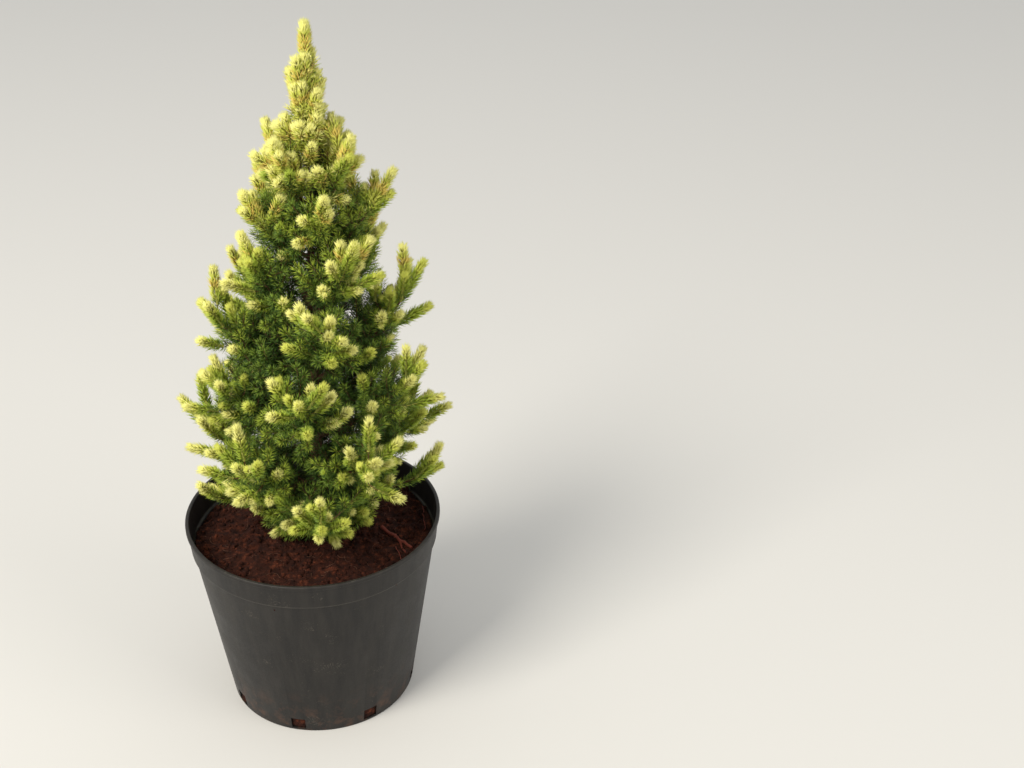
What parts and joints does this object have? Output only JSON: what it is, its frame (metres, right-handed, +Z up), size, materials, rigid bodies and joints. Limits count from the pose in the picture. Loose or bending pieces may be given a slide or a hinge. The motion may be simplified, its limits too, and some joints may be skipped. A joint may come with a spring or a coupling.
{
  "type": "potted dwarf conifer",
  "caption": "Cone-shaped dwarf conifer with pale new shoots on green needle sprays, growing in compost in a round tapered nursery pot.",
  "frame": {"origin": "centre of the pot's flat underside", "axes": "+Z up along the plant, -Y towards its front, +X to the right seen from the front"},
  "size_m": [0.2855, 0.2637, 0.719],
  "materials": {
    "pot": "moulded dark grey polypropylene, satin",
    "compost": "moist red-brown peat compost, rough",
    "bark": "thin scaly brown bark",
    "foliage": "green needles with cream and yellow new shoots"
  },
  "bodies": {
    "root": {"pot": "pot", "compost": "compost", "trunk": "bark", "foliage_leader": "foliage", "foliage_crest_1": "foliage", "foliage_crest_2": "foliage", "foliage_crest_3": "foliage", "foliage_crest_4": "foliage", "foliage_shoulder_1": "foliage", "foliage_shoulder_2": "foliage", "foliage_shoulder_3": "foliage", "foliage_shoulder_4": "foliage", "foliage_shoulder_5": "foliage", "bough_upper_1": "bark", "foliage_upper_1": "foliage", "bough_upper_2": "bark", "foliage_upper_2": "foliage", "bough_upper_3": "bark", "foliage_upper_3": "foliage", "bough_upper_4": "bark", "foliage_upper_4": "foliage", "bough_high_1": "bark", "foliage_high_1": "foliage", "bough_high_2": "bark", "foliage_high_2": "foliage", "bough_high_3": "bark", "foliage_high_3": "foliage", "bough_high_4": "bark", "foliage_high_4": "foliage", "bough_high_5": "bark", "foliage_high_5": "foliage", "bough_middle_1": "bark", "foliage_middle_1": "foliage", "bough_middle_2": "bark", "foliage_middle_2": "foliage", "bough_middle_3": "bark", "foliage_middle_3": "foliage", "bough_middle_4": "bark", "foliage_middle_4": "foliage", "bough_middle_5": "bark", "foliage_middle_5": "foliage", "bough_low_1": "bark", "foliage_low_1": "foliage", "bough_low_2": "bark", "foliage_low_2": "foliage", "bough_low_3": "bark", "foliage_low_3": "foliage", "bough_low_4": "bark", "foliage_low_4": "foliage", "bough_low_5": "bark", "foliage_low_5": "foliage", "bough_skirt_1": "bark", "foliage_skirt_1": "foliage", "bough_skirt_2": "bark", "foliage_skirt_2": "foliage", "bough_skirt_3": "bark", "foliage_skirt_3": "foliage", "bough_skirt_4": "bark", "foliage_skirt_4": "foliage"}
  },
  "joints": []
}
